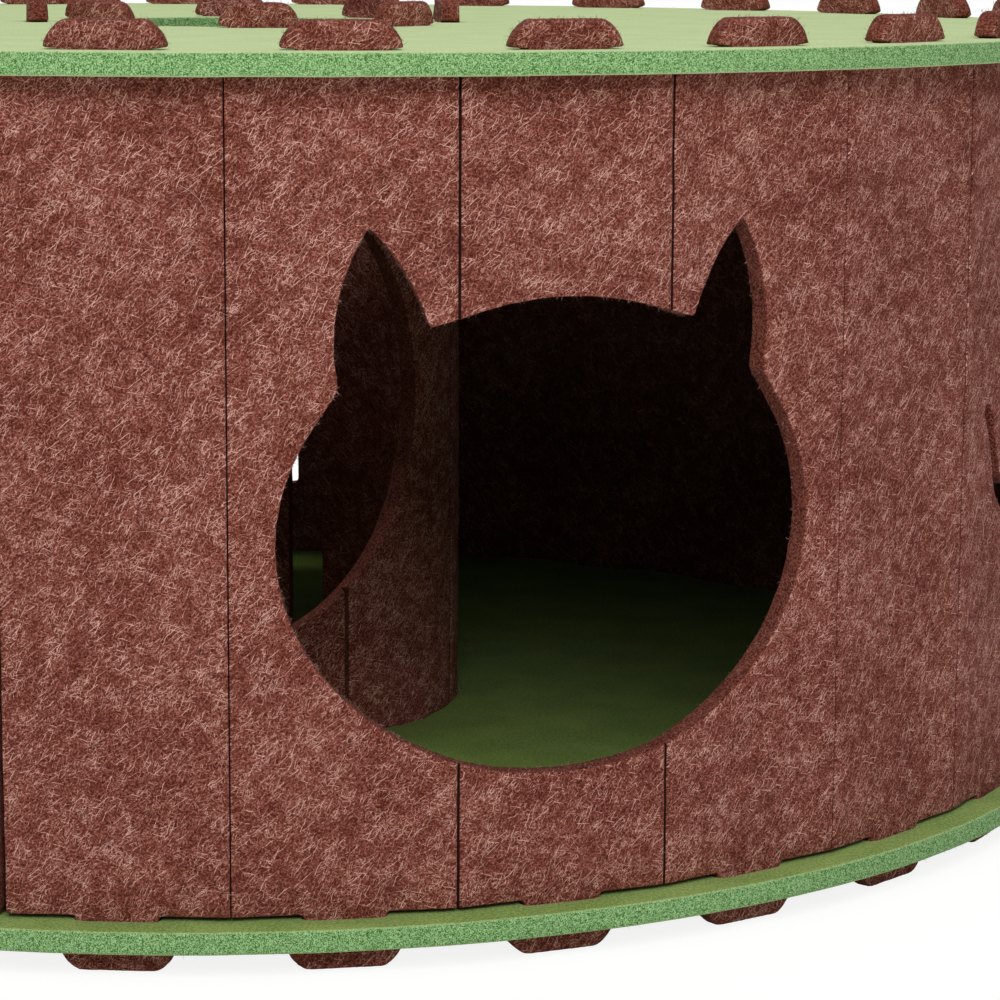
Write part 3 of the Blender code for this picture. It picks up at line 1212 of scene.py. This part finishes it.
@dataclass
class LooseFibres:
    """All the loose fibres of one felt, as closed, pointed threads of three sides."""

    name: str
    slot: Slot
    finish: LooseFibreFinish
    seed: int
    taper: float = 0.7
    dark_ones: float = 1.5
    points: list = field(default_factory=list)
    faces: list = field(default_factory=list)
    tints: list = field(default_factory=list)
    total: int = 0

    def __post_init__(self) -> None:
        """Starts the random numbers."""
        self.rng = np.random.default_rng(self.seed)

    def spin(self, axes: Points, thick: float) -> None:
        """Adds a thread along each axis.

        Args:
            axes: Points along each thread in the house, one row a thread.
            thick: Radius at its middle.
        """
        count, steps, _ = axes.shape
        ahead = axes[:, -1] - axes[:, 0]
        ahead /= np.linalg.norm(ahead, axis=1)[:, None]
        side = np.cross(ahead, self.rng.normal(size=(count, 3)))
        side /= np.linalg.norm(side, axis=1)[:, None]
        other = np.cross(ahead, side)
        rows = [axes[:, :1]]
        for number in range(1, steps - 1):
            radius = thick * (1.0 if number < steps - 2 else self.taper)
            for turn in (0, 1, 2):
                angle = 2 * math.pi * turn / 3
                around = math.cos(angle) * side + math.sin(angle) * other
                rows.append((axes[:, number] + radius * around)[:, None])
        rows.append(axes[:, -1:])
        threads = np.concatenate(rows, axis=1)
        size = threads.shape[1]
        pattern = [(0, 1 + (turn + 1) % 3, 1 + turn) for turn in range(3)]
        for ring in range(1, size - 4, 3):
            pattern += [(ring + turn, ring + (turn + 1) % 3, ring + 3 + (turn + 1) % 3, ring + 3 + turn)
                        for turn in range(3)]
        pattern += [(size - 4 + turn, size - 4 + (turn + 1) % 3, size - 1) for turn in range(3)]
        for thread in range(count):
            start = self.total + thread * size
            self.faces += [tuple(start + corner for corner in face) for face in pattern]
        self.points.append(threads.reshape(-1, 3))
        self.tints.append(np.repeat(self.rng.random(count) ** self.dark_ones, size))
        self.total += count * size

    def make(self) -> None:
        """Makes and dresses one piece of all the threads."""
        tint = np.concatenate(self.tints)
        piece = new_object(self.name, np.vstack(self.points), self.faces, self.finish.material(), tint=tint)
        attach(piece, "root")
        LOG.info("%s: %d faces", self.name, len(piece.data.polygons))


@dataclass(frozen=True)
class Finishes:
    """The felts and their loose fibres, made once and shared."""

    brown: bpy.types.Material
    roof: bpy.types.Material
    floor: bpy.types.Material
    brown_fibres: LooseFibres
    green_fibres: LooseFibres


@dataclass
class FeltPiece:
    """A felt piece that takes the place of one solid of the frame."""

    name: str
    node: str
    slot: Slot
    waves: Waves = Waves()

    def seat(
        self, points: Points, faces: list, cut: Points, flat: Points, felt: bpy.types.Material,
    ) -> None:
        """Makes and dresses the piece, and lets it stand for its solid.

        Args:
            points: Its points in the house.
            faces: Its faces.
            cut: How much each point belongs to a cut rim, and from 1 to 2 the painted shade inside a slit.
            flat: Each point's place on the flat sheet.
            felt: Its material.
        """
        piece = new_object(self.name, points, faces, felt, cut=cut, flat=flat)
        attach(piece, "root")
        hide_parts(self.node)
        LOG.info("%s: %d faces", self.name, len(piece.data.polygons))


@dataclass
class FoldedPiece(FeltPiece):
    """A brown sheet that stands round the house."""

    ring: FoldedRing | BentRing = None
    cut: SheetCut = None
    start: float = 0.0
    fuzz: RimFuzz = RimFuzz(0.0012, (0.0005, 0.0018))
    strays: Strays = Strays(500)
    head_share: float = 0.3

    def placed(self, flat: Points, closure: Points) -> Points:
        """Folds points of the flat sheet round the house.

        Args:
            flat: Run, height and depth of each point.
            closure: How far the nearest slit leans shut.

        Returns:
            Their places in the house.
        """
        lift = self.waves.at(flat[:, :2] + self.start)
        plan = self.ring.place(flat[:, 0], flat[:, 2] - lift, closure)
        return np.column_stack([plan, flat[:, 1]])

    def make(self, finishes: Finishes) -> None:
        """Cuts, folds and dresses the sheet.

        Args:
            finishes: The felts and their loose fibres.
        """
        flat, faces, cut, closure = SheetMesh(self.cut).build()
        points = self.placed(flat, closure)
        flat[:, 0] += self.start
        self.seat(points, faces, cut, flat, finishes.brown)
        self.shed(finishes.brown_fibres)

    def shed(self, fibres: LooseFibres) -> None:
        """Adds the sheet's loose fibres: round the upper heads and the openings, and on the face.

        Args:
            fibres: Where they go.
        """
        for number, loop in enumerate(self.cut.loops()):
            chosen = np.full(len(loop), True)
            if number == 0:
                chosen = (SheetCut.on_head(loop) > self.head_share) & (loop[:, 1] > HOUSE.roof_above)
            axes = self.fuzz.axes(loop, chosen, fibres.rng)
            fibres.spin(self.laid(axes), self.fuzz.thick)
        fibres.spin(self.laid(self.strays.axes(self.cut, fibres.rng)), self.strays.thick)

    def laid(self, axes: Points) -> Points:
        """Places fibres of the flat sheet in the house."""
        spots = axes.reshape(-1, 3)
        return self.placed(spots, np.zeros(len(spots))).reshape(axes.shape)


@dataclass(frozen=True)
class Detail:
    """How finely a sheet is made: the pace of its rims, the gap between hairs and the loose fibres."""

    pitch: float
    hair_gap: float
    strays: int


@dataclass
class OuterWall:
    """The four sheets that make the wall."""

    tab: Tab = Tab(0.0278, 0.0405, 0.0265)
    seam_gap: float = 0.001
    half_mouth: float = 0.00012
    head_rim: float = 0.0019
    rough: float = 0.00012
    window_stretch: int = 5
    front_closures: tuple = (0.80, 0.35, 0.40, 1.0, 0.65, 0.6)
    plain_closures: tuple = (0.5, 0.2, 0.6, 0.3, 0.7, 0.4)
    hair: tuple = (0.0005, 0.0018)
    near: Detail = Detail(0.0012, 0.0007, 1100)
    far: Detail = Detail(0.0024, 0.0014, 500)

    def ring(self) -> FoldedRing:
        """How the wall folds."""
        turn = -(HOUSE.door_stretch + 0.5) * 2 * math.pi / HOUSE.stretches
        return FoldedRing(HOUSE.stretches, HOUSE.stretch_width, HOUSE.slit_depth, turn)

    def panel(self, index: int, name: str, openings: list, closures: Sequence[float]) -> FoldedPiece:
        """One wall sheet.

        Args:
            index: Its place, from the front round to the right.
            name: Its name.
            openings: Outlines of its doorway and window, from its own left edge.
            closures: How far each of its slits leans shut.

        Returns:
            The piece, ready to make.
        """
        ring = self.ring()
        count = HOUSE.stretches // HOUSE.panels
        start = index * count * ring.width
        trim = self.seam_gap / 2 + (HOUSE.felt - HOUSE.slit_depth) * math.tan(ring.step / 2)
        middles = [(stretch + 0.5) * ring.width for stretch in range(count)]
        foot = HOUSE.lifted_foot if index == 0 else HOUSE.resting_foot
        outline = self.tab.sheet(trim, count * ring.width - trim, middles, foot)
        turned = FoldedRing(ring.stretches, ring.width, ring.hinge, ring.turn + index * count * ring.step)
        slits = [Slit((number + 1) * ring.width, self.half_mouth, HOUSE.slit_depth, closure)
                 for number, closure in enumerate(closures)]
        detail = self.near if index == 0 else self.far
        cut = SheetCut([outline] + openings, slits, head_rim=self.head_rim, rough=self.rough,
                       pitch=detail.pitch, seed=10 + index)
        return FoldedPiece(
            name + "_felt", name, Slot.BROWN, ring=turned, cut=cut, start=start,
            fuzz=RimFuzz(detail.hair_gap, self.hair), strays=Strays(detail.strays),
        )

    def make(self, finishes: Finishes) -> None:
        """Makes the four sheets.

        Args:
            finishes: The felts and their loose fibres.
        """
        width = HOUSE.stretch_width
        door = CatHeadDoor().outline((HOUSE.door_stretch + 0.5) * width)
        window = CatWindow()
        sheets = (
            ("wall_panel_front", [door, window.outline(self.window_stretch * width)], self.front_closures),
            ("wall_panel_right", [], self.plain_closures),
            ("wall_panel_rear", [window.turned()], self.plain_closures),
            ("wall_panel_left", [], self.plain_closures),
        )
        for index, sheet in enumerate(sheets):
            self.panel(index, *sheet).make(finishes)


@dataclass
class InnerRing:
    """The strip bent round the middle, which holds the roof up."""

    tab: Tab = Tab(0.0215, 0.0320, 0.0205)
    seam: float = 0.0140
    trims: tuple = (0.0016, 0.0009)
    half_mouth: float = 0.0009
    head_rim: float = 0.0019
    rough: float = 0.00012
    opening_radius: float = 0.1035
    opening_height: float = 0.1390
    opening_sides: int = 180
    # How dark the painted shade inside the ring's slits is.
    slit_painted_shade: float = 1.4
    pitch: float = 0.0016
    start: float = 7.0

    def ring(self) -> BentRing:
        """How the strip bends."""
        length = 2 * math.pi * (HOUSE.ring_radius - HOUSE.felt / 2)
        return BentRing(HOUSE.ring_radius, length, HOUSE.ring_turn - math.pi)

    def make(self, finishes: Finishes) -> None:
        """Cuts, bends and dresses the strip.

        Args:
            finishes: The felts and their loose fibres.
        """
        ring = self.ring()
        tab_run = ring.length / HOUSE.ring_tabs
        middles = [(number + 0.5) * tab_run for number in range(HOUSE.ring_tabs)]
        first, last = self.seam / 2 + self.trims[0], ring.length - self.seam / 2 - self.trims[1]
        outline = self.tab.sheet(first, last, middles, HOUSE.resting_foot)
        height = HOUSE.floor_above + self.opening_height
        opening = circle(self.opening_radius, self.opening_sides, ring.length / 2, height)
        slits = [Slit(number * tab_run, self.half_mouth, HOUSE.slit_depth, painted_shade=self.slit_painted_shade)
                 for number in range(1, HOUSE.ring_tabs)]
        cut = SheetCut([outline, opening], slits, head_rim=self.head_rim, rough=self.rough,
                       pitch=self.pitch, seed=20)
        strip = FoldedPiece(
            "inner_ring_felt", "inner_ring", Slot.BROWN, ring=ring, cut=cut, start=self.start,
        )
        strip.make(finishes)


@dataclass
class SlottedDisc(FeltPiece):
    """A green disc with a slot for every neck that passes through it."""

    below: float = 0.0
    openings: tuple = ()
    grid: float = 0.009
    sides: int = 1800
    rim: float = 0.0009
    rough: float = 0.00018
    waves: Waves = Waves(0.00005)
    fuzz: RimFuzz = RimFuzz(0.0009, (0.0004, 0.0018), (0.0002, 0.0078), thick=0.00006)

    @staticmethod
    def slot_outline(ring: FoldedRing | BentRing, middle: float, neck: float, parts: int) -> list:
        """Draws a slot round a neck of a ring.

        Args:
            ring: The ring that the neck belongs to.
            middle: Run of the neck's middle.
            neck: Width of the neck.
            parts: Number of straight parts of its long sides.

        Returns:
            The outline's points in plan.
        """
        grow = HOUSE.slot_gap
        runs = np.linspace(middle - neck / 2 - grow, middle + neck / 2 + grow, parts + 1)
        none = np.zeros(len(runs))
        outer = ring.place(runs, none - grow, none)
        inner = ring.place(runs[::-1], none + HOUSE.felt + grow, none)
        return [tuple(point) for point in np.vstack([outer, inner])]

    def placed(self, flat: Points) -> Points:
        """Places in the house of points of the flat sheet."""
        level = self.below + HOUSE.felt - flat[:, 2] + self.waves.at(flat[:, :2])
        return np.column_stack([flat[:, :2], level])

    def make(self, felt: bpy.types.Material, fibres: LooseFibres) -> None:
        """Cuts and dresses the disc.

        Args:
            felt: Its material.
            fibres: Where its loose fibres go.
        """
        wall, strip = OuterWall(), InnerRing()
        ring, bent = wall.ring(), strip.ring()
        outlines = [circle(ring.corner + HOUSE.rim_width, self.sides)]
        for stretch in range(HOUSE.stretches):
            outlines.append(self.slot_outline(ring, (stretch + 0.5) * ring.width, wall.tab.neck, 1))
        for number in range(HOUSE.ring_tabs):
            middle = (number + 0.5) * bent.length / HOUSE.ring_tabs
            outlines.append(self.slot_outline(bent, middle, strip.tab.neck, 4))
        outlines += self.openings
        cut = SheetCut(outlines, grid=self.grid, rim=self.rim, rough=self.rough, seed=30)
        flat, faces, belongs, _ = SheetMesh(cut).build()
        self.seat(self.placed(flat), faces, belongs, flat, felt)
        loop = cut.loops()[0]
        axes = self.fuzz.axes(loop, np.full(len(loop), True), fibres.rng)
        fibres.spin(self.placed(axes.reshape(-1, 3)).reshape(axes.shape), self.fuzz.thick)


@dataclass(frozen=True)
class Lamp:
    """A square lamp that faces a target."""

    name: str
    place: tuple
    target: tuple
    size: float
    power: float

    def hang(self) -> None:
        """Adds the lamp."""
        data = bpy.data.lights.new(self.name, "AREA")
        data.size = self.size
        data.energy = self.power
        lamp = bpy.data.objects.new(self.name, data)
        aim = (Vector(self.target) - Vector(self.place)).to_track_quat("-Z", "Y")
        lamp.matrix_world = Matrix.Translation(self.place) @ aim.to_matrix().to_4x4()
        bpy.context.scene.collection.objects.link(lamp)


@dataclass(frozen=True)
class Studio:
    """A pale floor, plain lights and the camera."""

    camera_at: tuple = (-0.4382, -1.3368, 0.3435)
    camera_tilt: float = 80.25
    camera_pan: float = -22.57
    camera_roll: float = 0.28
    lens: float = 119.08
    sensor: float = 36.0
    sight: float = 50.0
    lamps: tuple = (
        Lamp("key", (-0.63, -2.21, 1.64), (0.0, -0.2, 0.15), 1.3, 39.0),
        Lamp("top", (0.25, 0.85, 2.60), (0.0, 0.0, 0.25), 1.6, 27.0),
    )
    sky: float = 0.22
    floor_size: float = 14.0
    floor_share: float = 0.72
    floor_glow: float = 1.20
    floor_paint: tuple = (0.90, 0.90, 0.89, 1.0)
    white: tuple = (1.0, 1.0, 1.0, 1.0)

    def camera(self) -> None:
        """Sets the camera up."""
        data = bpy.data.cameras.new("camera")
        data.lens = self.lens
        data.sensor_width = self.sensor
        data.clip_end = self.sight
        camera = bpy.data.objects.new("camera", data)
        turn = Matrix.Rotation(math.radians(self.camera_pan), 4, "Z")
        turn @= Matrix.Rotation(math.radians(self.camera_tilt), 4, "X")
        turn @= Matrix.Rotation(math.radians(self.camera_roll), 4, "Z")
        camera.matrix_world = Matrix.Translation(self.camera_at) @ turn
        bpy.context.scene.collection.objects.link(camera)
        bpy.context.scene.camera = camera

    @staticmethod
    def seen(shop: FinishShop) -> Value:
        """Tells the camera's rays, also by way of gloss or glass, from the others.

        Args:
            shop: The material or world that takes the nodes.

        Returns:
            One for the camera's rays and nothing for the others.
        """
        camera = shop.add("ShaderNodeLightPath", {}, {}, "Is Camera Ray")
        gloss, glass = camera.sibling("Is Glossy Ray"), camera.sibling("Is Transmission Ray")
        return camera.largest(gloss).largest(glass)

    def world(self) -> None:
        """A plain white surround that the camera sees as pure white."""
        shop = FinishShop(bpy.data.worlds.new("surround"))
        level = self.seen(shop) * (1 - self.sky) + self.sky
        background = shop.add("ShaderNodeBackground", {}, {"Color": self.white, "Strength": level})
        bpy.context.scene.world = shop.finish(background, "ShaderNodeOutputWorld")

    def floor(self) -> None:
        """A white floor that stays white to the camera but keeps the house's shadow."""
        shop = FinishShop(bpy.data.materials.new("studio_floor"))
        white = shop.add("ShaderNodeEmission", {}, {"Color": self.white, "Strength": self.floor_glow})
        paint = shop.add("ShaderNodeBsdfDiffuse", {}, {"Color": self.floor_paint})
        share = self.seen(shop) * self.floor_share
        material = shop.finish(shop.add("ShaderNodeMixShader", {}, {0: share, 1: paint, 2: white}))
        half = self.floor_size / 2
        corners = np.array([(-half, -half, 0.0), (half, -half, 0.0), (half, half, 0.0), (-half, half, 0.0)])
        floor = new_object("studio_floor", corners, [(0, 1, 2, 3)], material)

    def make(self) -> None:
        """Builds the studio."""
        bpy.context.scene.view_settings.view_transform = "Standard"
        self.camera()
        self.world()
        self.floor()
        for lamp in self.lamps:
            lamp.hang()
        LOG.info("studio: camera, lights and floor")


def main() -> None:
    """Builds the house piece by piece."""
    logging.basicConfig(level=logging.INFO, format="%(message)s")
    Studio().make()
    brown = LooseFibreFinish("loose_brown_fibre", (0.20, 0.075, 0.055), (0.72, 0.47, 0.40))
    green = LooseFibreFinish("loose_green_fibre", (0.20, 0.36, 0.10), (0.62, 0.74, 0.42))
    # The floor felt is darker and more saturated than the roof felt, partly its own colour and partly
    # painted shade for the inside of the house; inside the walls it is darkened further by painted shade.
    floor_felt = GreenFelt(
        "green_floor_felt", face=(0.480, 0.630, 0.190), shade=(0.150, 0.270, 0.045),
        indoor_shade=(0.54, 0.58, 0.32),
    )
    finishes = Finishes(
        BrownFelt().material(), GreenFelt().material(), floor_felt.material(),
        LooseFibres("loose_brown_fibres", Slot.BROWN, brown, 41),
        LooseFibres("loose_green_fibres", Slot.GREEN, green, 42),
    )
    OuterWall().make(finishes)
    InnerRing().make(finishes)
    hole = circle(HOUSE.ring_radius - HOUSE.felt - HOUSE.roof_ledge, HOUSE.hole_sides)
    floor = SlottedDisc("floor_felt", "base_panel", Slot.GREEN, below=HOUSE.floor_below)
    floor.make(finishes.floor, finishes.green_fibres)
    roof = SlottedDisc("roof_felt", "top_panel", Slot.GREEN, below=HOUSE.roof_below, openings=(hole,))
    roof.make(finishes.roof, finishes.green_fibres)
    finishes.brown_fibres.make()
    finishes.green_fibres.make()


if __name__ == "__main__":
    main()
